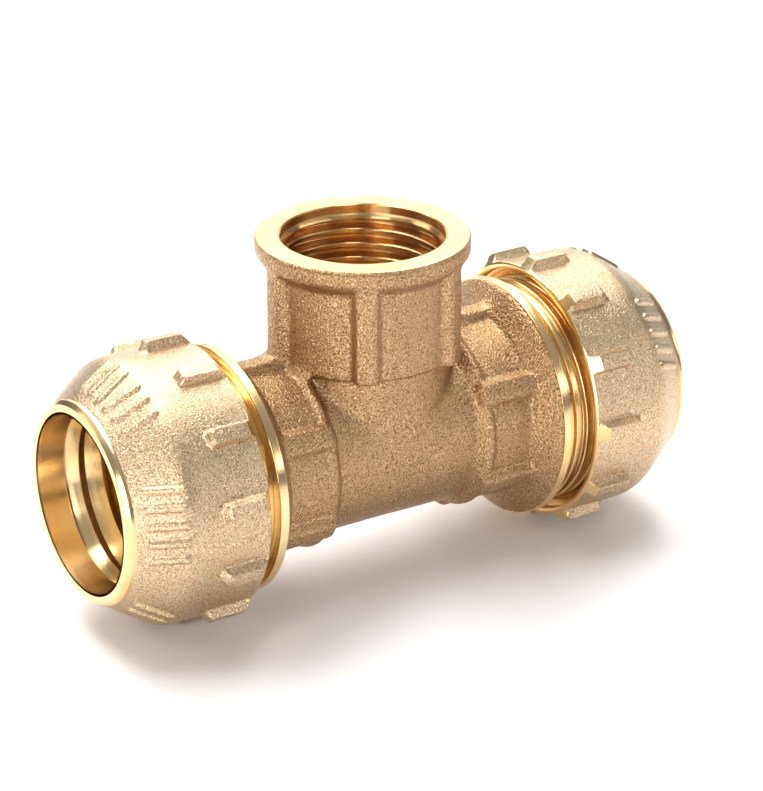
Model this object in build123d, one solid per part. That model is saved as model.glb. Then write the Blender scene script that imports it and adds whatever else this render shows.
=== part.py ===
from build123d import *
import os

# Compression tee for 20 mm plastic pipe with a G1/2 female branch. Millimetres.
# Frame: +X along the run, +Z up the branch. The origin is on the branch axis at
# the outer end of the branch thread, and the run axis lies RUN_DROP below the branch face.

# Branch
FACE_Z = 1.6              # branch end face above the outer end of the thread
RUN_DROP = 25.4           # branch end face to run axis
RING_R = 12.75            # machined ring round the branch mouth
RING_H = 2.1
TAPER_H = 3.35            # lower end of the cone under the ring, below the face
BRANCH_BOSS_END = 14.3    # lower end of the branch boss, below the face
THREAD_MINOR_R = 9.3155   # G1/2 crest radius
THREAD_MAJOR_R = 10.4775  # G1/2 root radius
THREAD_PITCH = 1.814
THREAD_TURNS = 7
THREAD_LAND = 0.3         # flat along each crest and each root
THREAD_RUNOUT = 1.0       # cone from the last thread to the passage
COUNTERBORE_R = 9.75
COUNTERBORE_END = 0.5     # bottom of the counterbore above the thread
MOUTH_CHAMFER = 0.15
BRANCH_BORE_R = 8.2       # passage below the thread

# Run
TUBE_R = 10.5
WATER_R = 7.8             # water passage
BOSS_IN = 10.1            # ribbed boss on the run, distances from the branch axis
BOSS_OUT = 18.4
FLANGE_R = 14.9
FLANGE_EDGE_R = 14.3      # where the cast back of the flange starts to round over
FLANGE_EDGE_W = 0.8
FLANGE_ROOT_R = 12.0
FLANGE_IN = 18.4
FLANGE_FACE = 20.3
BODY_END = 27.2
MALE_CREST_R = 14.0       # run thread, 28 x 1.5
MALE_ROOT_R = 13.1
MALE_PITCH = 1.5
MALE_FIRST = 22.05        # first crest from the flange
CREST_BASE = 0.6          # half width of a crest at its root
CREST_TOP = 0.15          # half width of a crest at its tip
SOCKET_R = 10.15          # pipe socket
SOCKET_STOP = 19.2
SEAT_R = 12.1             # O-ring seat in the end of the body
SEAT_DEPTH = 2.3

# Ribbed bosses that a wrench grips, on the branch and on both ends of the run
BOSS_R = 11.4
BOSS_RIBS = 6
BOSS_RIB_R = 12.5
BOSS_RIB_W = 2.4
END_RIDGE_R = 11.8
END_RIDGE_W = 1.2

# Seal and thrust washer
O_RING_SECTION = 1.95
O_RING_IN_R = 10.05
O_RING_GAP = 0.02         # from the bottom of the seat
WASHER_T = 1.2
WASHER_GAP = 0.05         # from the end of the body
WASHER_IN_R = 10.3
WASHER_OUT_R = 12.8

# Compression nut, distances from its mouth going in
NUT_LENGTH = 16.3
NUT_BARREL_R = 16.0
NUT_RIB_R = 17.2
NUT_RIB_W = 2.1
NUT_RIB_L = 6.3
NUT_RIB_FILLET = 0.6
NUT_RIB_CHAMFER = 0.5
NUT_RIB_SINK = 1.0        # depth of a rib's foot inside the barrel
NUT_RIBS = 12
NUT_MOUTH_R = 10.4
NUT_MOUTH_DEPTH = 3.4
NUT_LIP_R = 12.2
NUT_LIP_CHAMFER = 0.5
NUT_CONE = [(1.0, 12.3), (1.9, 13.0), (3.4, 14.1), (5.0, 15.1), (6.4, 15.75)]
NUT_BARREL_START = 7.6
NUT_BORE_R = 14.15        # clears the crests of the run thread
NUT_ENTRY_R = 15.25       # counterbore that passes over the flange
NUT_ENTRY_DEPTH = 1.3
NUT_ENTRY_TAPER = 0.6
NUT_CONE_RUNOUT = 1.0     # clamping cone carried past the ring
NUT_REAR_CHAMFER = 0.25
LEFT_MOUTH_X = 38.4       # nuts at rest: the left one is a little further on
RIGHT_MOUTH_X = 39.5
LEFT_RIB_PHASE = 10.0
RIGHT_RIB_PHASE = 0.0

# Split clamp ring, distances from the mouth shoulder going in
RING_GAP = 0.15
CLAMP_LENGTH = 5.0
CLAMP_FRONT_R = 11.3
CLAMP_BACK_R = 13.0
CLAMP_TIP_R = 10.15       # tips of the two grip teeth, which face the mouth
CLAMP_GROOVE_R = 11.0
CLAMP_TOOTH_W = 1.8
CLAMP_TIP_W = 0.15
CLAMP_GROOVE_W = 0.95
CLAMP_SPLIT_W = 1.6
LEFT_SPLIT_ANGLE = -80.0   # round the run from -Y towards +Z
RIGHT_SPLIT_ANGLE = 40.0
CONE_CLEARANCE = 0.3

RUN_Z = FACE_Z - RUN_DROP


def run_revolve(points, side):
    """Revolve (distance from branch axis, radius) points about the run axis."""
    face = make_face(Polyline([(side * x, r) for x, r in points], close=True))
    face = Plane((0, 0, 0), x_dir=(1, 0, 0), z_dir=(0, -1, 0)) * face
    return Pos(0, 0, RUN_Z) * revolve(face, Axis.X)


def run_cylinder(x0, x1, r, side):
    return run_revolve([(x0, 0), (x1, 0), (x1, r), (x0, r)], side)


def branch_revolve(points):
    """Revolve (radius, z) points about the branch axis."""
    face = make_face(Polyline(points, close=True))
    face = Plane((0, 0, 0), x_dir=(1, 0, 0), z_dir=(0, -1, 0)) * face
    return revolve(face, Axis.Z)


def ribbed_boss(length, ridges):
    """Round boss along +Z from 0 with raised ribs, and raised ridges from the given heights."""
    bottom = (Align.CENTER, Align.CENTER, Align.MIN)
    boss = Cylinder(BOSS_R, length, align=bottom)
    for height in ridges:
        boss += Pos(0, 0, height) * Cylinder(END_RIDGE_R, END_RIDGE_W, align=bottom)
    rib = Box(BOSS_RIB_R, BOSS_RIB_W, length, align=(Align.MIN, Align.CENTER, Align.MIN))
    for i in range(BOSS_RIBS):
        boss += Rot(0, 0, 360 * i / BOSS_RIBS) * rib
    return boss & Cylinder(BOSS_RIB_R, length, align=bottom)


def run_boss(side):
    length = BOSS_OUT - BOSS_IN
    boss = ribbed_boss(length, [0, length - END_RIDGE_W])
    return Pos(0, 0, RUN_Z) * Rot(0, 90 * side, 0) * Pos(0, 0, BOSS_IN) * boss


def run_end(side):
    """Flange and threaded spigot on one end of the run."""
    points = [(FLANGE_IN - 1, 0), (FLANGE_IN - 1, FLANGE_ROOT_R), (FLANGE_IN, FLANGE_EDGE_R)]
    points += [(FLANGE_IN + FLANGE_EDGE_W, FLANGE_R), (FLANGE_FACE, FLANGE_R), (FLANGE_FACE, MALE_ROOT_R)]
    crest = MALE_FIRST
    while crest < BODY_END - CREST_BASE:
        points += [(crest - CREST_BASE, MALE_ROOT_R), (crest - CREST_TOP, MALE_CREST_R)]
        points += [(crest + CREST_TOP, MALE_CREST_R), (crest + CREST_BASE, MALE_ROOT_R)]
        crest += MALE_PITCH
    points += [(BODY_END, MALE_ROOT_R), (BODY_END, 0)]
    return run_revolve(points, side)


def run_socket(side):
    """Pipe socket, its stop shoulder and the O-ring seat."""
    seat_x = BODY_END - SEAT_DEPTH
    socket = run_cylinder(SOCKET_STOP, BODY_END + 1, SOCKET_R, side)
    return socket + run_cylinder(seat_x, BODY_END + 1, SEAT_R, side)


def branch_thread_cutter():
    """Mouth chamfer, counterbore, thread grooves and tapping drill bore."""
    half_pitch = THREAD_PITCH / 2
    half_land = THREAD_LAND / 2
    points = [(0, FACE_Z + 1), (COUNTERBORE_R + MOUTH_CHAMFER + 1, FACE_Z + 1)]
    points += [(COUNTERBORE_R + MOUTH_CHAMFER, FACE_Z), (COUNTERBORE_R, FACE_Z - MOUTH_CHAMFER)]
    points += [(COUNTERBORE_R, COUNTERBORE_END), (THREAD_MINOR_R, 0)]
    for turn in range(THREAD_TURNS):
        top = -THREAD_LAND - turn * THREAD_PITCH
        root = top + half_land - half_pitch
        points += [(THREAD_MINOR_R, top), (THREAD_MAJOR_R, root + half_land)]
        points += [(THREAD_MAJOR_R, root - half_land), (THREAD_MINOR_R, top + THREAD_LAND - THREAD_PITCH)]
    points += [(BRANCH_BORE_R, -THREAD_TURNS * THREAD_PITCH - THREAD_RUNOUT)]
    points += [(BRANCH_BORE_R, RUN_Z), (0, RUN_Z)]
    return branch_revolve(points)


def tee_body():
    bottom = (Align.CENTER, Align.CENTER, Align.MIN)
    body = run_cylinder(-BOSS_OUT, BOSS_OUT, TUBE_R, 1)
    body += Pos(0, 0, RUN_Z) * Cylinder(TUBE_R, RUN_DROP - TAPER_H, align=bottom)
    body += Pos(0, 0, FACE_Z - BRANCH_BOSS_END) * ribbed_boss(BRANCH_BOSS_END - RING_H, [])
    ring = [(0, FACE_Z), (RING_R, FACE_Z), (RING_R, FACE_Z - RING_H)]
    ring += [(BOSS_R, FACE_Z - TAPER_H), (0, FACE_Z - TAPER_H)]
    body += branch_revolve(ring)
    for side in (-1, 1):
        body += run_boss(side)
        body += run_end(side)
    body -= run_cylinder(-BODY_END - 1, BODY_END + 1, WATER_R, 1)
    for side in (-1, 1):
        body -= run_socket(side)
    body -= branch_thread_cutter()
    return body


def o_ring(side):
    centre_x = BODY_END - SEAT_DEPTH + O_RING_SECTION / 2 + O_RING_GAP
    ring = Torus(O_RING_IN_R + O_RING_SECTION / 2, O_RING_SECTION / 2)
    return Pos(side * centre_x, 0, RUN_Z) * Rot(0, 90, 0) * ring


def thrust_washer(side):
    x0 = BODY_END + WASHER_GAP
    points = [(x0, WASHER_IN_R), (x0 + WASHER_T, WASHER_IN_R)]
    points += [(x0 + WASHER_T, WASHER_OUT_R), (x0, WASHER_OUT_R)]
    return run_revolve(points, side)


def clamp_ring(side, mouth_x, split_angle):
    front = mouth_x - NUT_MOUTH_DEPTH - RING_GAP
    back = front - CLAMP_LENGTH
    tip = front - CLAMP_TOOTH_W
    groove = tip - CLAMP_TIP_W - CLAMP_GROOVE_W
    points = [(front, CLAMP_GROOVE_R), (tip, CLAMP_TIP_R), (tip - CLAMP_TIP_W, CLAMP_GROOVE_R)]
    points += [(groove, CLAMP_GROOVE_R), (groove - CLAMP_TOOTH_W, CLAMP_TIP_R)]
    points += [(back, CLAMP_GROOVE_R), (back, CLAMP_BACK_R), (front, CLAMP_FRONT_R)]
    ring = run_revolve(points, side)
    middle_x = side * (front - CLAMP_LENGTH / 2)
    across = (Align.CENTER, Align.MAX, Align.CENTER)
    slot = Box(CLAMP_LENGTH * 2, CLAMP_BACK_R * 2, CLAMP_SPLIT_W, align=across)
    return ring - Pos(middle_x, 0, RUN_Z) * Rot(-split_angle, 0, 0) * slot


def compression_nut(side, mouth_x, phase):
    rear = mouth_x - NUT_LENGTH
    shoulder = mouth_x - NUT_MOUTH_DEPTH
    cone_back = shoulder - RING_GAP - CLAMP_LENGTH - NUT_CONE_RUNOUT
    slope = (CLAMP_BACK_R - CLAMP_FRONT_R) / CLAMP_LENGTH
    cone_front_r = CLAMP_FRONT_R + CONE_CLEARANCE
    cone_back_r = cone_front_r + slope * (shoulder - cone_back)
    entry = rear + NUT_ENTRY_DEPTH
    inner = [(mouth_x + 1, 0), (mouth_x + 1, NUT_MOUTH_R), (shoulder, NUT_MOUTH_R)]
    inner += [(shoulder, cone_front_r), (cone_back, cone_back_r), (cone_back, NUT_BORE_R)]
    inner += [(entry + NUT_ENTRY_TAPER, NUT_BORE_R), (entry, NUT_ENTRY_R)]
    inner += [(rear - 1, NUT_ENTRY_R), (rear - 1, 0)]
    outer = [(mouth_x, 0), (mouth_x, NUT_LIP_R - NUT_LIP_CHAMFER), (mouth_x - NUT_LIP_CHAMFER, NUT_LIP_R)]
    outer += [(mouth_x - back, r) for back, r in NUT_CONE]
    outer += [(mouth_x - NUT_BARREL_START, NUT_BARREL_R), (rear + NUT_REAR_CHAMFER, NUT_BARREL_R)]
    outer += [(rear, NUT_BARREL_R - NUT_REAR_CHAMFER), (rear, 0)]
    nut = run_revolve(outer, side)
    bar_h = NUT_RIB_R - NUT_BARREL_R + NUT_RIB_SINK
    bar = Box(NUT_RIB_L, bar_h, NUT_RIB_W, align=(Align.MIN, Align.MIN, Align.CENTER))
    bar = fillet(bar.edges().filter_by(Axis.X).group_by(Axis.Y)[-1], NUT_RIB_FILLET)
    bar = chamfer(bar.edges().filter_by(Axis.Z).group_by(Axis.Y)[-1], NUT_RIB_CHAMFER)
    start_x = rear if side > 0 else -rear - NUT_RIB_L
    for i in range(NUT_RIBS):
        turn = Rot(180 - phase - 360 * i / NUT_RIBS, 0, 0)
        nut += Pos(start_x, 0, RUN_Z) * turn * Pos(0, NUT_RIB_R - bar_h, 0) * bar
    return nut - run_revolve(inner, side)


os.makedirs("parts", exist_ok=True)
pieces = {"tee_body": tee_body()}
for name, side, mouth_x, phase, split_angle in (
    ("left", -1, LEFT_MOUTH_X, LEFT_RIB_PHASE, LEFT_SPLIT_ANGLE),
    ("right", 1, RIGHT_MOUTH_X, RIGHT_RIB_PHASE, RIGHT_SPLIT_ANGLE),
):
    pieces[name + "_nut"] = compression_nut(side, mouth_x, phase)
    pieces[name + "_clamp_ring"] = clamp_ring(side, mouth_x, split_angle)
    pieces[name + "_thrust_washer"] = thrust_washer(side)
    pieces[name + "_o_ring"] = o_ring(side)
for node, shape in pieces.items():
    export_step(shape, "parts/" + node + ".step")
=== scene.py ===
import math

import bpy
import numpy as np
from mathutils import Matrix, Vector


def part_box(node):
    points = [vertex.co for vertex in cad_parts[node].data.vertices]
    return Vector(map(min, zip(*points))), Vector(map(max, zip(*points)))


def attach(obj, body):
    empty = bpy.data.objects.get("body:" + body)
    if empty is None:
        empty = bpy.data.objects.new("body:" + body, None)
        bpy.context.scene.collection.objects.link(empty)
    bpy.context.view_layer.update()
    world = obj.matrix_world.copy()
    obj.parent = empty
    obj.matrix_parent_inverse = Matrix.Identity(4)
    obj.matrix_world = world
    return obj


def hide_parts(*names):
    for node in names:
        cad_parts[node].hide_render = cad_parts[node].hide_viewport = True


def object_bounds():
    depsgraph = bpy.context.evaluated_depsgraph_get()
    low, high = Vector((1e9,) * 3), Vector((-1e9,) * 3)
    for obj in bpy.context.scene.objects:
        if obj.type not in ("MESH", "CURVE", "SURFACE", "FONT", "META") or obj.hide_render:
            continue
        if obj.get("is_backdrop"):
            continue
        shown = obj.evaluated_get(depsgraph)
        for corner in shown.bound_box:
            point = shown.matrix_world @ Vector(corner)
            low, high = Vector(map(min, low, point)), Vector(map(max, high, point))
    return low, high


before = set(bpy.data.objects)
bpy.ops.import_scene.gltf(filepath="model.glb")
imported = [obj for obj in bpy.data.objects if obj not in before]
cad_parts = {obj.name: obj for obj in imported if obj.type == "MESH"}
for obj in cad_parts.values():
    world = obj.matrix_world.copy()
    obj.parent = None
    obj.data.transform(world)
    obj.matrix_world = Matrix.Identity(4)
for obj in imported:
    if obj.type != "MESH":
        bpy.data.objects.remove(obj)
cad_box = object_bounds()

# Lengths are millimetres in the CAD's frame until mesh_object() turns them into metres.
# The run axis is along X at RUN_Z and the branch axis is Z.
MM = 0.001


def cad_mm(node):
    low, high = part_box(node)
    return np.array(low) / MM, np.array(high) / MM


BODY_HIGH = cad_mm("tee_body")[1]
SEAL_LOW, SEAL_HIGH = cad_mm("right_o_ring")
FACE_Z = float(BODY_HIGH[2])
RUN_Z = float(SEAL_LOW[2] + SEAL_HIGH[2]) / 2
BODY_END = float(BODY_HIGH[0])

# Branch end: radii, and depths below the face
RING_R = 12.75
RING_SIDE = 2.1           # straight side of the ring
CONE_END = 3.35           # lower end of the cone under the ring
CAST_TOP = 0.28           # the cast surface stays this far below the face
FACE_T = 0.35             # thickness of the machined ring
FACE_ROUND = 0.28         # cast edge round the face
MOUTH_R = 9.9
COUNTERBORE_R = 9.75
COUNTERBORE_END = 1.15
BRANCH_BOSS_TOP = 1.0
BRANCH_BOSS_END = 14.3
BRANCH_BORE_R = 8.2
G_MINOR_R = 9.3155        # G1/2 thread
G_MAJOR_R = 10.4
G_PITCH = 1.814
G_CREST = (0.2, 0.8)      # half widths of a crest's top and base
G_ROW = 0.06              # spacing of the mesh rows along the thread
THREAD_TOP = 1.6
THREAD_END = 13.4
SLEEVE_R = 10.6           # the machined lining inside the cast branch
SLEEVE_END = 13.9

# Run and bosses: radii, and distances from the branch axis
CAST_NET = 0.335          # spacing of the cast body's mesh
TUBE_R = 10.5
WATER_R = 7.8
BOSS_R = 11.4
BOSS_IN = 10.1
BOSS_OUT = 18.4
BOSS_RIBS = 6
BOSS_RIB_R = 12.5
BOSS_RIB_TOP = 1.0        # half widths of a rib
BOSS_RIB_FOOT = 1.9
END_RIDGE_R = 11.85
END_RIDGE_SOFT = 0.4
FLANGE_R = 14.9
FLANGE_BACK = 17.3
FLANGE_NECK_R = 12.4      # the flange's cast back swells from here
FLANGE_NECK = 17.5
FLANGE_SWELL = 2.5
CAST_END = 19.2
RIM_INSET = 0.06          # the cast edge stays inside the machined rim
FLANGE_FACE = 20.3
SOCKET_R = 10.15
SEAT_R = 12.1
SEAT_DEPTH = 2.3

# Blends between the cast shapes
MITRE_BLEND = 0.7
BRANCH_BOSS_BLEND = 0.35
BRANCH_BOSS_ROUND = 0.6
RUN_BOSS_BLEND = 1.1
RUN_BOSS_ROUND = 1.3
RING_BLEND = 0.4
FLANGE_BLEND = 0.7
WAVE_SIZE = 1.9
WAVE_HEIGHT = 0.02

# Run thread. Its position is measured from the branch axis.
RUN_PITCH = 1.5
RUN_ROW = 0.05            # spacing of the mesh rows along the thread
FIRST_CREST = 22.05
SPIGOT_START = (21.0, 21.7)  # the spigot's thread rises to full height here
MALE_CREST_R = 14.0
MALE_ROOT_R = 13.5
MALE_CREST = (0.36, 0.64)    # half widths of a crest's top and base
FEMALE_CREST_R = 13.65
FEMALE_ROOT_R = 14.15
FEMALE_CREST = (0.05, 0.40)

# Nuts: radii, and distances back from the mouth unless a comment says otherwise
NUT_LENGTH = 16.3
NUT_SEGMENTS = 600
NUT_R = 16.0
CONE_FOOT = 1.05          # the cast cone starts behind the turned lip
BARREL_START = 8.0
BARREL_END = 1.3          # distance from the rear face
MOUTH_DEPTH = 3.4
NUT_MOUTH_R = 10.4
LIP_R = 12.2
CLAMP_CONE_L = 6.2        # inner cone behind the mouth shoulder
NUT_RIBS = 12
NUT_RIB_R = 17.2
NUT_RIB_TOP = 0.8         # half widths of a rib
NUT_RIB_FOOT = 1.12
NUT_RIB_END = (5.6, 6.5)  # where a rib's rounded end falls away, from the rear face
NUT_RIB_ROUND = 0.25
REAR_CHAMFER = 0.22
REAR_CONE = 1.15          # slope of the turned cone that cuts the ribs' rear ends
MARK_H = 0.42
MARK_L = 3.4
MARK_BACK = 4.0
MARK_STEP = 2.1
MARK_TOP = 0.2            # half widths of a mark
MARK_FOOT = 0.55

# Inner pieces
WASHER_IN_R = 10.3
WASHER_OUT_R = 12.8
CLAMP_BACK_R = 13.0
CLAMP_LENGTH = 5.0
TOOTH_R = 10.15
TOOTH_L = 1.8
CLAMP_SLOT = 0.07         # half the slot's angle, in radians


# ---------------------------------------------------------------- mesh helpers

def mesh_object(name, points, faces, materials, face_slots=None, sharp=38):
    mesh = bpy.data.meshes.new(name)
    mesh.from_pydata((np.asarray(points) * MM).tolist(), [], faces)
    for material in materials:
        mesh.materials.append(material)
    if face_slots is not None:
        mesh.polygons.foreach_set("material_index", np.asarray(face_slots, dtype=np.int32))
    mesh.polygons.foreach_set("use_smooth", np.ones(len(mesh.polygons), dtype=bool))
    mesh.update()
    mesh.set_sharp_from_angle(angle=math.radians(sharp))
    piece = bpy.data.objects.new(name, mesh)
    bpy.context.scene.collection.objects.link(piece)
    return piece


def rounded(corners, arc_steps=5):
    """Outline with rounded corners. Each corner is (axial, radius, fillet radius)."""
    outline = []
    count = len(corners)
    for i, (a, r, fillet) in enumerate(corners):
        here = np.array([a, r], dtype=float)
        if fillet <= 0:
            outline.append(here)
            continue
        before = np.array(corners[i - 1][:2]) - here
        after = np.array(corners[(i + 1) % count][:2]) - here
        u = before / np.linalg.norm(before)
        v = after / np.linalg.norm(after)
        half = math.acos(float(np.clip(u @ v, -1, 1))) / 2
        reach = fillet / math.tan(half)
        start = here + u * reach
        middle = here + (u + v) / np.linalg.norm(u + v) * fillet / math.sin(half)
        turn = math.pi - 2 * half
        first = math.atan2(*(start - middle)[::-1])
        way = 1 if u[0] * v[1] - u[1] * v[0] < 0 else -1
        for step in range(arc_steps + 1):
            angle = first + way * turn * step / arc_steps
            outline.append(middle + fillet * np.array([math.cos(angle), math.sin(angle)]))
    return np.array(outline)


def place_run(axial, radius, angle, side):
    """Angle is measured from -Y towards +Z, seen the same way on both sides."""
    return np.stack([side * axial, -radius * np.cos(angle), RUN_Z + radius * np.sin(angle)], axis=-1)


def place_branch(axial, radius, angle, side):
    return np.stack([radius * np.cos(angle), radius * np.sin(angle), FACE_Z + axial], axis=-1)


def revolve(outline, segments, start=0.0, end=2 * math.pi, closed=True):
    """Axial, radius and angle grids for a revolved outline."""
    angle = np.linspace(start, end, segments, endpoint=not closed)
    axial = np.repeat(outline[:, :1], segments, axis=1)
    radius = np.repeat(outline[:, 1:2], segments, axis=1)
    return axial, radius, np.repeat(angle[None, :], len(outline), axis=0)


def grid_faces(rows, columns, closed=True):
    i, j = np.meshgrid(np.arange(rows), np.arange(columns if closed else columns - 1), indexing="ij")
    below = (i + 1) % rows
    right = (j + 1) % columns
    corners = [i * columns + j, below * columns + j, below * columns + right, i * columns + right]
    return np.stack(corners, axis=-1).reshape(-1, 4)


def outward(points, faces):
    """The closed mesh's faces, wound to point outwards."""
    p = points[faces]
    volume = 0.0
    for b, c in ((1, 2), (2, 3)):
        volume += np.einsum("ij,ij->i", p[:, 0], np.cross(p[:, b], p[:, c])).sum()
    return faces[:, ::-1] if volume < 0 else faces


def lathe(name, outline, place, side, materials, segments=256, shape=None, sharp=38, row_slots=None):
    """Revolves a closed (axial, radius) outline. shape(axial, radius, angle) gives its radius.
    row_slots gives each row of the outline its material."""
    axial, radius, angle = revolve(outline, segments)
    if shape is not None:
        radius = shape(axial, radius, angle)
    points = place(axial, radius, angle, side).reshape(-1, 3)
    faces = outward(points, grid_faces(len(outline), segments))
    slots = None if row_slots is None else np.repeat(row_slots, segments)
    return mesh_object(name, points, faces.tolist(), materials, slots, sharp)


def split_lathe(name, outline, side, material, gap_angle, gap_half, segments=240):
    """A revolved ring with a slot sawn through it."""
    axial, radius, angle = revolve(outline, segments, gap_angle + gap_half,
                                   gap_angle + 2 * math.pi - gap_half, closed=False)
    points = place_run(axial, radius, angle, side).reshape(-1, 3)
    rows = len(outline)
    plain = grid_faces(rows, segments, closed=False)
    faces = outward(points, plain)
    first = [i * segments for i in range(rows)]
    last = [i * segments + segments - 1 for i in range(rows)]
    caps = [first[::-1], last] if faces is plain else [first, last[::-1]]
    return mesh_object(name, points, faces.tolist() + caps, [material])


# ---------------------------------------------------------------- shape functions

def fade(x, start, end):
    t = np.clip((x - start) / (end - start), 0, 1)
    return t * t * (3 - 2 * t)


def window(x, start, end, soft):
    return fade(x, start - soft, start + soft) * (1 - fade(x, end - soft, end + soft))


def crest(position, pitch, half_top, half_base):
    """1 on a thread's crest and 0 in its root, for a position along the axis."""
    away = np.abs((position / pitch + 0.5) % 1.0 - 0.5) * pitch
    return 1 - fade(away, half_top, half_base)


def smooth_min(a, b, k):
    h = np.clip(0.5 + 0.5 * (b - a) / k, 0, 1)
    return b * (1 - h) + a * h - k * h * (1 - h)


def smooth_max(a, b, k):
    return -smooth_min(-a, -b, k)


def waviness(x, y, z, size, height):
    w = np.sin(x / size + 1.3 * np.sin(y / size * 0.7)) * np.sin(y / size * 1.1 + z / size * 0.6)
    return height * (w + 0.6 * np.sin(z / size * 1.3 + 2.1 * np.sin(x / size * 0.5)))


def ribbed_boss(u, v, t, start, end, first_rib, ridges, end_round):
    """Round boss along t with six lengthwise ribs, and raised bands round it."""
    r = np.sqrt(u * u + v * v)
    pitch = 2 * math.pi / BOSS_RIBS
    local = (np.arctan2(v, u) - math.radians(first_rib) + pitch / 2) % pitch - pitch / 2
    rib = 1 - fade(np.abs(r * np.sin(local)), BOSS_RIB_TOP, BOSS_RIB_FOOT)
    surface = BOSS_R + (BOSS_RIB_R - BOSS_R) * rib
    for low, high, radius in ridges:
        surface = np.maximum(surface, BOSS_R + (radius - BOSS_R) * window(t, low, high, END_RIDGE_SOFT))
    d = r - surface
    return smooth_max(d, np.abs(t - (start + end) / 2) - (end - start) / 2, end_round)


def tee_field(x, y, z):
    q = z - RUN_Z
    depth = FACE_Z - z
    span = np.abs(x)
    run_r = np.sqrt(y * y + q * q)
    branch_r = np.sqrt(x * x + y * y)
    tube = np.maximum(run_r - TUBE_R, span - BOSS_OUT)
    neck = np.maximum(branch_r - TUBE_R, np.maximum(-q, CONE_END - depth))
    d = smooth_min(tube, neck, MITRE_BLEND)
    branch = ribbed_boss(x, y, depth, BRANCH_BOSS_TOP, BRANCH_BOSS_END, 0, [], BRANCH_BOSS_ROUND)
    d = smooth_min(d, branch, BRANCH_BOSS_BLEND)
    ridges = [(BOSS_IN - 0.5, BOSS_IN + 1.2, END_RIDGE_R), (BOSS_OUT - 1.3, BOSS_OUT + 0.5, END_RIDGE_R)]
    run = ribbed_boss(y, q, span, BOSS_IN, BOSS_OUT + 0.6, 30, ridges, RUN_BOSS_ROUND)
    d = smooth_min(d, run, RUN_BOSS_BLEND)
    cone = branch_r - RING_R + (RING_R - BOSS_R) * (depth - RING_SIDE) / (CONE_END - RING_SIDE)
    ring = smooth_max(smooth_max(branch_r - RING_R, cone, 0.6), depth - CONE_END - 0.5, 0.4)
    d = smooth_min(d, smooth_max(ring, CAST_TOP - depth, 0.3), RING_BLEND)
    swell = np.clip((span - FLANGE_NECK) / (CAST_END - FLANGE_NECK), 0, 1)
    flange = run_r - (FLANGE_NECK_R + FLANGE_SWELL * swell)
    flange = smooth_max(flange, run_r - (FLANGE_R - RIM_INSET), 0.25)
    flange = smooth_max(flange, FLANGE_BACK - span, 0.5)
    d = smooth_min(d, smooth_max(flange, span - CAST_END - 0.12, 0.25), FLANGE_BLEND)
    d = d + waviness(x, y, z, WAVE_SIZE, WAVE_HEIGHT)
    d = np.maximum(d, CAST_TOP - depth)
    d = np.maximum(d, WATER_R - run_r)
    passage = np.where(depth < SLEEVE_END, SLEEVE_R, BRANCH_BORE_R)
    return np.maximum(d, np.where(q > 0, passage - branch_r, -1.0))


def surface_net(field, low, high, step):
    """Quad mesh of field == 0, its corners moved onto the surface."""
    counts = np.ceil((np.array(high) - np.array(low)) / step).astype(int) + 1
    axes = [low[i] + step * np.arange(counts[i]) for i in range(3)]
    grid = np.meshgrid(*axes, indexing="ij")
    d = field(*grid)
    inside = d < 0
    total = np.zeros(tuple(counts - 1), dtype=np.int8)
    corners = [(a, b, c) for a in (0, 1) for b in (0, 1) for c in (0, 1)]
    for a, b, c in corners:
        total += inside[a:counts[0] - 1 + a, b:counts[1] - 1 + b, c:counts[2] - 1 + c]
    cells = np.argwhere((total > 0) & (total < 8))
    place = np.zeros((len(cells), 3))
    crossings = np.zeros(len(cells))
    for start in corners:
        for axis in range(3):
            if start[axis]:
                continue
            end = list(start)
            end[axis] = 1
            d0 = d[tuple((cells + start).T)]
            d1 = d[tuple((cells + end).T)]
            cut = (d0 < 0) != (d1 < 0)
            t = np.where(cut, d0 / np.where(cut, d0 - d1, 1), 0)
            spot = np.repeat(np.array([start], dtype=float), len(cells), axis=0)
            spot[:, axis] = t
            place[cut] += spot[cut]
            crossings += cut
    points = (cells + place / crossings[:, None]) * step + np.array(low)
    h = 0.02
    for _ in range(4):  # damped steps along the field's slope onto the surface
        here = field(*points.T)
        slope = np.stack([(field(*(points + h * np.eye(3)[i]).T) - here) / h for i in range(3)], axis=1)
        move = here[:, None] * slope / np.maximum((slope ** 2).sum(1), 0.25)[:, None]
        points -= np.clip(move, -step / 3, step / 3) * 0.8
    number = np.full(tuple(counts - 1), -1)
    number[tuple(cells.T)] = np.arange(len(cells))
    faces = []
    for axis in range(3):
        other = [i for i in range(3) if i != axis]
        cut = [slice(None)] * 3
        ahead = [slice(None)] * 3
        cut[axis] = slice(0, -1)
        ahead[axis] = slice(1, None)
        change = inside[tuple(cut)] != inside[tuple(ahead)]
        spots = np.argwhere(change)
        keep = (spots[:, other[0]] > 0) & (spots[:, other[1]] > 0)
        keep &= (spots[:, other[0]] < counts[other[0]] - 1) & (spots[:, other[1]] < counts[other[1]] - 1)
        spots = spots[keep]
        ring = []
        for back in ((1, 1), (0, 1), (0, 0), (1, 0)):
            cell = spots.copy()
            cell[:, other[0]] -= back[0]
            cell[:, other[1]] -= back[1]
            ring.append(number[tuple(cell.T)])
        quads = np.stack(ring, axis=1)
        leaving = inside[tuple(spots.T)]
        if axis == 1:
            leaving = ~leaving
        quads[~leaving] = quads[~leaving][:, ::-1]
        faces.append(quads)
    return points, np.concatenate(faces)


# ---------------------------------------------------------------- materials

def new_material(name):
    material = bpy.data.materials.new(name)
    material.use_nodes = True
    tree = material.node_tree
    return material, tree, tree.nodes["Principled BSDF"]


def node(tree, kind, **settings):
    made = tree.nodes.new(kind)
    for key, value in settings.items():
        setattr(made, key, value)
    return made


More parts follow.
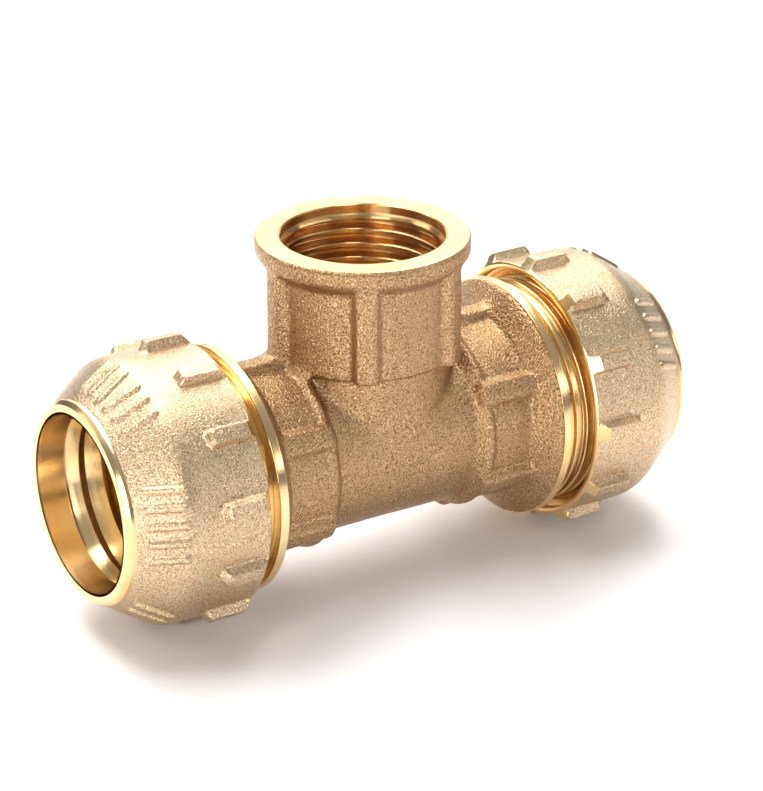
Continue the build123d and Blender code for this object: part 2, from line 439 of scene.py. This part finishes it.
def noise(tree, vector, scale, detail, roughness=0.5):
    made = node(tree, "ShaderNodeTexNoise")
    made.inputs["Scale"].default_value = scale
    made.inputs["Detail"].default_value = detail
    made.inputs["Roughness"].default_value = roughness
    tree.links.new(vector, made.inputs["Vector"])
    return made.outputs["Fac"]


def ramp(tree, value, stops):
    made = node(tree, "ShaderNodeValToRGB")
    tree.links.new(value, made.inputs["Fac"])
    elements = made.color_ramp.elements
    while len(elements) < len(stops):
        elements.new(0.5)
    for element, (place, colour) in zip(elements, stops):
        element.position = place
        element.color = (*colour, 1)
    return made.outputs["Color"]


def spread(tree, value, low, high, to_low, to_high):
    made = node(tree, "ShaderNodeMapRange")
    for socket, number in zip(("From Min", "From Max", "To Min", "To Max"), (low, high, to_low, to_high)):
        made.inputs[socket].default_value = number
    tree.links.new(value, made.inputs["Value"])
    return made.outputs["Result"]


def bump(tree, height, strength, distance, normal=None):
    made = node(tree, "ShaderNodeBump")
    made.inputs["Strength"].default_value = strength
    made.inputs["Distance"].default_value = distance
    tree.links.new(height, made.inputs["Height"])
    if normal is not None:
        tree.links.new(normal, made.inputs["Normal"])
    return made.outputs["Normal"]


def blasted_brass(name, colours, fineness, relief):
    """Forged brass after shot blasting: matte, with packed grains 0.2 to 0.4 mm across."""
    material, tree, shader = new_material(name)
    where = node(tree, "ShaderNodeTexCoord").outputs["Object"]
    grains = noise(tree, where, fineness, 1.0, 0.6)
    cloud = noise(tree, where, 260, 3.0)
    tree.links.new(ramp(tree, grains, colours), shader.inputs["Base Color"])
    tree.links.new(spread(tree, grains, 0.3, 0.7, 0.38, 0.24), shader.inputs["Roughness"])
    shader.inputs["Metallic"].default_value = 1.0
    low = bump(tree, cloud, 0.3, 0.0002)
    tree.links.new(bump(tree, grains, 1.0, relief, low), shader.inputs["Normal"])
    return material


def turned_brass(name, centre, axis, colours, polish, stretch):
    """Machined brass: fine turning lines round an axis through centre (metres)."""
    material, tree, shader = new_material(name)
    where = node(tree, "ShaderNodeTexCoord").outputs["Object"]
    shift = node(tree, "ShaderNodeVectorMath", operation="SUBTRACT")
    shift.inputs[1].default_value = centre
    tree.links.new(where, shift.inputs[0])
    parts = node(tree, "ShaderNodeSeparateXYZ")
    tree.links.new(shift.outputs["Vector"], parts.inputs["Vector"])
    flat = node(tree, "ShaderNodeCombineXYZ")
    for label in "XYZ":
        if label != axis:
            tree.links.new(parts.outputs[label], flat.inputs[label])
    radius = node(tree, "ShaderNodeVectorMath", operation="LENGTH")
    tree.links.new(flat.outputs["Vector"], radius.inputs[0])
    lines = node(tree, "ShaderNodeCombineXYZ")
    tree.links.new(parts.outputs[axis], lines.inputs["X"])
    tree.links.new(radius.outputs["Value"], lines.inputs["Y"])
    fine = noise(tree, lines.outputs["Vector"], 9000, 2.0)
    broad = noise(tree, lines.outputs["Vector"], 1400, 2.0)
    stain = noise(tree, where, 220, 3.0)
    tree.links.new(ramp(tree, stain, colours), shader.inputs["Base Color"])
    tree.links.new(spread(tree, broad, 0.3, 0.7, polish, polish + 0.10), shader.inputs["Roughness"])
    shader.inputs["Metallic"].default_value = 1.0
    shader.inputs["Anisotropic"].default_value = stretch
    shader.inputs["Anisotropic Rotation"].default_value = 0.25
    around = node(tree, "ShaderNodeTangent", direction_type="RADIAL", axis=axis)
    tree.links.new(around.outputs["Tangent"], shader.inputs["Tangent"])
    slow = bump(tree, broad, 0.15, 0.00002)
    tree.links.new(bump(tree, fine, 0.25, 0.000006, slow), shader.inputs["Normal"])
    return material


def seal_rubber(name):
    material, tree, shader = new_material(name)
    where = node(tree, "ShaderNodeTexCoord").outputs["Object"]
    speck = noise(tree, where, 2500, 3.0)
    tree.links.new(ramp(tree, speck, [(0.3, (0.012, 0.012, 0.013)), (0.7, (0.03, 0.03, 0.032))]),
                   shader.inputs["Base Color"])
    tree.links.new(spread(tree, speck, 0.3, 0.7, 0.45, 0.62), shader.inputs["Roughness"])
    tree.links.new(bump(tree, speck, 0.2, 0.00002), shader.inputs["Normal"])
    return material


RUN_CENTRE = (0, 0, RUN_Z * MM)
GOLD = [(0.35, (0.84, 0.58, 0.27)), (0.65, (0.92, 0.69, 0.38))]
# Darker, redder gold for the inside of the bore: painted shade for the shade and repeated reflections in the
# bore
BORE_SHADE_GOLD = [(0.35, (0.70, 0.42, 0.17)), (0.65, (0.82, 0.54, 0.25))]
# The body's copy of the blasted brass is darker than the nuts' copy: painted shade for the body under the
# branch and between the nuts
SHADED_BODY_BLAST = [(0.32, (0.23, 0.122, 0.052)), (0.46, (0.43, 0.27, 0.132)), (0.66, (0.65, 0.445, 0.235))]
PALE_BLAST = [(0.32, (0.30, 0.20, 0.105)), (0.46, (0.60, 0.43, 0.26)), (0.66, (0.80, 0.62, 0.41))]
# The body gets the darker copy: painted shade
body_cast = blasted_brass("blasted_brass_body_painted_shade", SHADED_BODY_BLAST, 5000, 0.00016)
nut_cast = blasted_brass("blasted_brass_nut", PALE_BLAST, 5800, 0.00009)
turned_run = turned_brass("turned_brass_run", RUN_CENTRE, "X", GOLD, 0.18, 0.7)
turned_branch = turned_brass("turned_brass_branch", (0, 0, 0), "Z", GOLD, 0.22, 0.35)
# The bore's turned brass uses that darker gold: painted shade
bore_shaded_branch = turned_brass("turned_brass_bore_painted_shade", (0, 0, 0), "Z", BORE_SHADE_GOLD, 0.20, 0.95)
rubber = seal_rubber("nitrile_rubber")


# ---------------------------------------------------------------- body

def tee_cast():
    low = (-CAST_END - 0.6, -FLANGE_R - 0.5, RUN_Z - FLANGE_R - 0.5)
    high = (CAST_END + 0.6, FLANGE_R + 0.5, FACE_Z + 0.3)
    points, faces = surface_net(tee_field, low, high, CAST_NET)
    return mesh_object("tee_cast", points, faces.tolist(), [body_cast], sharp=50)


def branch_ring():
    """Machined face, mouth and G1/2 thread."""
    top = rounded([
        (-FACE_T, SLEEVE_R, 0), (-FACE_T, RING_R, 0.03), (0, RING_R, FACE_ROUND), (0, RING_R - 0.35, 0),
        (0, MOUTH_R + 0.2, 0), (0, MOUTH_R, 0.1),
        (-0.15, COUNTERBORE_R, 0.05), (-COUNTERBORE_END, COUNTERBORE_R, 0.1), (-THREAD_TOP, G_MINOR_R, 0)])
    rows = np.arange(-THREAD_TOP - G_ROW, -THREAD_END, -G_ROW)
    threads = np.stack([rows, np.full(len(rows), G_MINOR_R)], axis=1)
    bottom = np.array([(-THREAD_END, G_MINOR_R), (-SLEEVE_END, BRANCH_BORE_R), (-SLEEVE_END, SLEEVE_R)])

    def cut(axial, radius, angle):
        along = axial - G_PITCH * angle / (2 * math.pi)
        depth = (1 - crest(along, G_PITCH, *G_CREST)) * (G_MAJOR_R - G_MINOR_R)
        depth *= fade(-axial, THREAD_TOP + 0.1, THREAD_TOP + 0.7) * fade(axial, -THREAD_END, 1.2 - THREAD_END)
        return np.where(np.abs(radius - G_MINOR_R) < 1e-6, radius + depth, radius)

    outline = np.concatenate([top, threads, bottom])
    cast_rows = slice(1, 11)     # the ring's side and the round above it
    # The bore's rows below get the darker gold: painted shade
    bore_shaded_rows = slice(14, -2)   # from just outside the mouth to the end of the thread
    slots = np.zeros(len(outline), dtype=int)
    slots[bore_shaded_rows] = 1
    slots[cast_rows] = 2
    materials = [turned_branch, bore_shaded_branch, body_cast]
    return lathe("branch_ring", outline, place_branch, 1, materials, 288, cut, 75, slots)


def spigot(side, name):
    """Machined flange rim, run thread, pipe socket and O-ring seat."""
    thread_end = BODY_END - 0.55
    rim = rounded([
        (CAST_END, SOCKET_R, 0), (CAST_END, FLANGE_R, 0.06), (CAST_END + 0.12, FLANGE_R, 0),
        (FLANGE_FACE - 0.2, FLANGE_R, 0), (FLANGE_FACE, FLANGE_R, 0.15),
        (FLANGE_FACE, FLANGE_R - 0.25, 0), (FLANGE_FACE, MALE_ROOT_R, 0.15)])
    rows = np.arange(FLANGE_FACE + 0.25, thread_end, RUN_ROW)
    threads = np.stack([rows, np.full(len(rows), MALE_ROOT_R)], axis=1)
    seat_x = BODY_END - SEAT_DEPTH
    inside = rounded([
        (BODY_END, MALE_ROOT_R - 0.35, 0.1), (BODY_END, SEAT_R, 0.15), (seat_x, SEAT_R, 0.2),
        (seat_x, SOCKET_R, 0.15)])

    def cut(axial, radius, angle):
        along = axial + RUN_PITCH * angle * side / (2 * math.pi) - FIRST_CREST
        height = crest(along, RUN_PITCH, *MALE_CREST) * (MALE_CREST_R - MALE_ROOT_R)
        height *= fade(axial, *SPIGOT_START) * fade(-axial, -thread_end, 0.7 - thread_end)
        return np.where(np.abs(radius - MALE_ROOT_R) < 1e-6, radius + height, radius)

    outline = np.concatenate([rim, threads, inside])
    return lathe(name, outline, place_run, side, [turned_run], 320, cut, 75)


# ---------------------------------------------------------------- nuts

def nut_outer_radius(back):
    """Cast profile, by distance back from the mouth."""
    distances = [1.0, 2.6, 4.0, 5.4, 6.2, 6.9, 7.9]
    radii = [12.3, 13.4, 14.36, 15.3, 15.72, 15.93, NUT_R]
    return np.interp(back, distances, radii)


def cone_marks(back, angle, groups):
    """Height 0 to 1 of plain raised bars, in groups of (centre angle, number of bars)."""
    height = np.zeros_like(back)
    beyond = np.maximum(np.abs(back - MARK_BACK) - MARK_L / 2, 0)
    for centre, count in groups:
        local = (angle - math.radians(centre) + math.pi) % (2 * math.pi) - math.pi
        arc = local * nut_outer_radius(back)
        for k in range(count):
            beside = np.abs(arc - (k - (count - 1) / 2) * MARK_STEP)
            height = np.maximum(height, 1 - fade(np.hypot(beside, beyond), MARK_TOP, MARK_FOOT))
    return height


def nut(name, side, phase, groups):
    """Cast outside with ribs and marks, turned lip, rear face, rib ends and inside."""
    low, high = cad_mm(name)
    mouth = float(high[0] if side > 0 else -low[0])
    rear = mouth - NUT_LENGTH
    shoulder = mouth - MOUTH_DEPTH
    lip = rounded([
        (mouth, NUT_MOUTH_R, 0.12), (mouth, NUT_MOUTH_R + 0.2, 0), (mouth, LIP_R - 0.85, 0),
        (mouth, LIP_R - 0.45, 0.3), (mouth - 0.55, LIP_R, 0.25), (mouth - 0.95, LIP_R + 0.02, 0)])
    front = np.arange(mouth - CONE_FOOT, mouth - BARREL_START, -0.15)
    barrel = np.arange(mouth - BARREL_START, rear + BARREL_END, -0.23)
    end = np.arange(rear + BARREL_END, rear + REAR_CHAMFER, -0.12)
    outer_rows = np.concatenate([front, barrel, end, [rear + REAR_CHAMFER]])
    outer = np.stack([outer_rows, nut_outer_radius(mouth - outer_rows)], axis=1)
    inside = np.array([
        (rear + 0.05, NUT_R - 0.17), (rear, NUT_R - 0.28), (rear, 15.4), (rear + 0.15, 15.25),
        (rear + 1.3, 15.2), (rear + 1.9, FEMALE_ROOT_R)])
    thread_end = shoulder - CLAMP_CONE_L
    thread_rows = np.arange(rear + 2.0, thread_end, 0.15)
    threads = np.stack([thread_rows, np.full(len(thread_rows), FEMALE_ROOT_R)], axis=1)
    cone = rounded([
        (thread_end + 0.05, FEMALE_CREST_R, 0.1), (shoulder, 11.6, 0.1), (shoulder, NUT_MOUTH_R, 0.05)])
    outline = np.concatenate([lip, outer, inside, threads, cone])
    rows, segments = len(outline), NUT_SEGMENTS
    axial, radius, angle = revolve(outline, segments)

    row = np.arange(rows)[:, None]
    is_outer = (row >= len(lip)) & (row < len(lip) + len(outer))
    behind = axial - rear
    local = (angle - math.radians(phase)) * NUT_RIBS / (2 * math.pi)
    across = np.abs((local + 0.5) % 1.0 - 0.5) * 2 * math.pi * NUT_R / NUT_RIBS
    rib = 1 - fade(across, NUT_RIB_TOP, NUT_RIB_FOOT)
    rib *= 1 - fade(behind + NUT_RIB_ROUND * across ** 2, *NUT_RIB_END)
    ribbed = radius + rib * (NUT_RIB_R - NUT_R)
    chamfer = NUT_R + 0.02 + REAR_CONE * (behind - REAR_CHAMFER)
    turned_nub = is_outer & (ribbed > chamfer)
    ribbed = np.minimum(ribbed, np.maximum(chamfer, radius))
    ribbed += MARK_H * cone_marks(mouth - axial, angle, groups)
    radius = np.where(is_outer, ribbed, radius)

    along = axial + RUN_PITCH * angle * side / (2 * math.pi) - FIRST_CREST + RUN_PITCH / 2
    ridge = crest(along, RUN_PITCH, *FEMALE_CREST) * (FEMALE_ROOT_R - FEMALE_CREST_R)
    ridge *= fade(behind, 2.0, 2.8) * fade(-axial, -thread_end, 0.8 - thread_end)
    radius = np.where(np.abs(radius - FEMALE_ROOT_R) < 1e-6, radius - ridge, radius)

    points = place_run(axial, radius, angle, side).reshape(-1, 3)
    faces = outward(points, grid_faces(rows, segments))
    forged = np.repeat(is_outer | (row == len(lip) - 1), segments, axis=1)
    forged[len(lip) + len(outer) - 1] = False
    slots = np.where(forged & ~turned_nub, 0, 1).reshape(-1)
    return mesh_object(name + "_forged", points, faces.tolist(), [nut_cast, turned_run], slots, sharp=48)


# ---------------------------------------------------------------- inner pieces

def clamp_ring(name, side, gap_angle):
    """Split ring with two grip teeth that face the mouth."""
    low, high = cad_mm(name)
    front = float(high[0] if side > 0 else -low[0])
    back = front - CLAMP_LENGTH
    outline = rounded([
        (front, 11.35, 0.03), (front, 11.15, 0.03), (front - TOOTH_L, TOOTH_R, 0.12),
        (front - TOOTH_L - 0.15, 11.0, 0.05), (front - 2.9, 11.05, 0.05), (back + 0.25, TOOTH_R, 0.12),
        (back, 10.8, 0.1), (back, CLAMP_BACK_R, 0.15)])
    return split_lathe(name + "_turned", outline, side, turned_run, math.radians(gap_angle), CLAMP_SLOT)


def washer(name, side):
    low, high = cad_mm(name)
    near, far = sorted((abs(float(low[0])), abs(float(high[0]))))
    outline = rounded([
        (near, WASHER_IN_R, 0.12), (far, WASHER_IN_R, 0.12),
        (far, WASHER_OUT_R, 0.15), (near, WASHER_OUT_R, 0.15)])
    return lathe(name + "_turned", outline, place_run, side, [turned_run], 192)


def o_ring(name, side):
    low, high = cad_mm(name)
    middle = abs(float(low[0] + high[0])) / 2
    section = float(high[0] - low[0]) / 2
    ring_r = float(high[1]) - section
    turn = np.linspace(0, 2 * math.pi, 28, endpoint=False)
    outline = np.stack([middle + section * np.cos(turn), ring_r + section * np.sin(turn)], axis=1)
    return lathe(name + "_moulded", outline, place_run, side, [rubber], 160)


def keep(piece, body, slot, *nodes):
    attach(piece, body)
    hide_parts(*nodes)


# Centre angle and number of bars in each group of marks
MARKS = {
    "left": [(8, 5), (66, 3), (92, 3), (-50, 2), (190, 5)],
    "right": [(38, 5), (100, 3), (200, 5)],
}
keep(tee_cast(), "fitting_body", "forged_brass", "tee_body")
keep(branch_ring(), "fitting_body", "turned_brass", "tee_body")
for label, side, phase, gap in (("left", -1, 10, -80), ("right", 1, 0, 40)):
    keep(spigot(side, label + "_spigot"), "fitting_body", "turned_brass", "tee_body")
    keep(nut(label + "_nut", side, phase, MARKS[label]), label + "_nut", "forged_brass", label + "_nut")
    clamp = clamp_ring(label + "_clamp_ring", side, gap)
    keep(clamp, label + "_clamp", "turned_brass", label + "_clamp_ring")
    keep(washer(label + "_thrust_washer", side), "fitting_body", "turned_brass", label + "_thrust_washer")
    keep(o_ring(label + "_o_ring", side), "fitting_body", "seal_rubber", label + "_o_ring")


# ---------------------------------------------------------------- stage

VIEW_AZIMUTH = -32.37
VIEW_ELEVATION = 23.9
VIEW_DISTANCE = 0.3772    # metres
FOCAL_LENGTH = 148.5      # for a sensor 36 mm wide
AIM_RIGHT = 2.2           # the view's centre: right of the branch axis, and below its face
AIM_BELOW = 20.83


def floor():
    """Pale floor far wider than the view."""
    level = min(cad_box[0][2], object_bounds()[0][2])
    size = 3.0
    corners = [(-size, -size, level), (size, -size, level), (size, size, level), (-size, size, level)]
    mesh = bpy.data.meshes.new("floor")
    mesh.from_pydata(corners, [], [(0, 1, 2, 3)])
    material, tree, shader = new_material("pale_floor")
    where = node(tree, "ShaderNodeTexCoord").outputs["Object"]
    soft = noise(tree, where, 30, 2.0)
    tree.links.new(ramp(tree, soft, [(0.3, (0.92, 0.90, 0.90)), (0.7, (0.95, 0.93, 0.93))]),
                   shader.inputs["Base Color"])
    shader.inputs["Roughness"].default_value = 0.7
    mesh.materials.append(material)
    piece = bpy.data.objects.new("floor", mesh)
    bpy.context.scene.collection.objects.link(piece)
    piece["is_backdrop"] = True


def softbox(name, right, away, up, distance, size, brightness, colour=(1, 1, 1)):
    """Rectangular light aimed at the object, placed by how far right, behind and above it is."""
    lamp = bpy.data.lights.new(name, "AREA")
    lamp.shape = "RECTANGLE"
    lamp.size, lamp.size_y = size
    lamp.energy = brightness * math.pi * size[0] * size[1]
    lamp.color = colour
    piece = bpy.data.objects.new(name, lamp)
    turn = math.radians(VIEW_AZIMUTH)
    across = Vector((math.cos(turn), math.sin(turn), 0))
    behind = Vector((-math.sin(turn), math.cos(turn), 0))
    towards = (across * right + behind * away + Vector((0, 0, up))).normalized()
    level = across - towards * across.dot(towards) if abs(right) < 0.6 else towards.cross(behind)
    level.normalize()
    piece.matrix_world = Matrix((level, towards.cross(level), towards)).transposed().to_4x4()
    piece.location = Vector(RUN_CENTRE) + towards * distance
    bpy.context.scene.collection.objects.link(piece)


def studio(ambient, ceiling):
    """White surroundings: bright overhead, dim at the sides, white as a background."""
    world = bpy.data.worlds.new("studio")
    bpy.context.scene.world = world
    world.use_nodes = True
    tree = world.node_tree
    background = tree.nodes["Background"]
    background.inputs["Color"].default_value = (1, 1, 1, 1)
    parts = node(tree, "ShaderNodeSeparateXYZ")
    tree.links.new(node(tree, "ShaderNodeTexCoord").outputs["Generated"], parts.inputs["Vector"])
    glow = spread(tree, parts.outputs["Z"], 0.25, 0.9, ambient, ceiling)
    seen = node(tree, "ShaderNodeLightPath").outputs["Is Camera Ray"]
    mix = node(tree, "ShaderNodeMix", data_type="FLOAT")
    tree.links.new(seen, mix.inputs["Factor"])
    tree.links.new(glow, mix.inputs["A"])
    mix.inputs["B"].default_value = 1.0
    tree.links.new(mix.outputs["Result"], background.inputs["Strength"])


def camera():
    """The photo's view."""
    azimuth, elevation = math.radians(VIEW_AZIMUTH), math.radians(VIEW_ELEVATION)
    level = math.cos(elevation)
    away = Vector((math.sin(azimuth) * level, -math.cos(azimuth) * level, math.sin(elevation)))
    right = Vector((math.cos(azimuth), math.sin(azimuth), 0))
    up = away.cross(right)
    aim = right * AIM_RIGHT * MM + Vector((0, 0, FACE_Z - AIM_BELOW)) * MM
    lens = bpy.data.cameras.new("camera")
    lens.sensor_fit = "HORIZONTAL"
    lens.sensor_width = 36
    lens.lens = FOCAL_LENGTH
    lens.clip_start = 0.01
    piece = bpy.data.objects.new("camera", lens)
    piece.matrix_world = Matrix((right, up, away)).transposed().to_4x4()
    piece.location = aim + away * VIEW_DISTANCE
    bpy.context.scene.collection.objects.link(piece)
    bpy.context.scene.camera = piece


floor()
softbox("overhead_left", -0.40, 0.30, 0.95, 0.45, (0.16, 0.5), 8.5)
softbox("overhead_right", 0.18, 0.30, 0.95, 0.45, (0.09, 0.5), 8.5)
softbox("back", 0, 0.95, 0.5, 0.8, (0.9, 0.7), 1.4)
softbox("front", -0.42, -0.9, 0.20, 0.6, (0.26, 0.34), 6.5, (1, 0.98, 0.96))
softbox("left", -1.0, 0.1, 0.45, 0.6, (0.24, 0.3), 2.4)
softbox("right_front", 0.85, -0.22, 0.32, 0.6, (0.12, 0.6), 3.2)
studio(0.16, 0.42)
bpy.context.scene.view_settings.view_transform = "Standard"
camera()
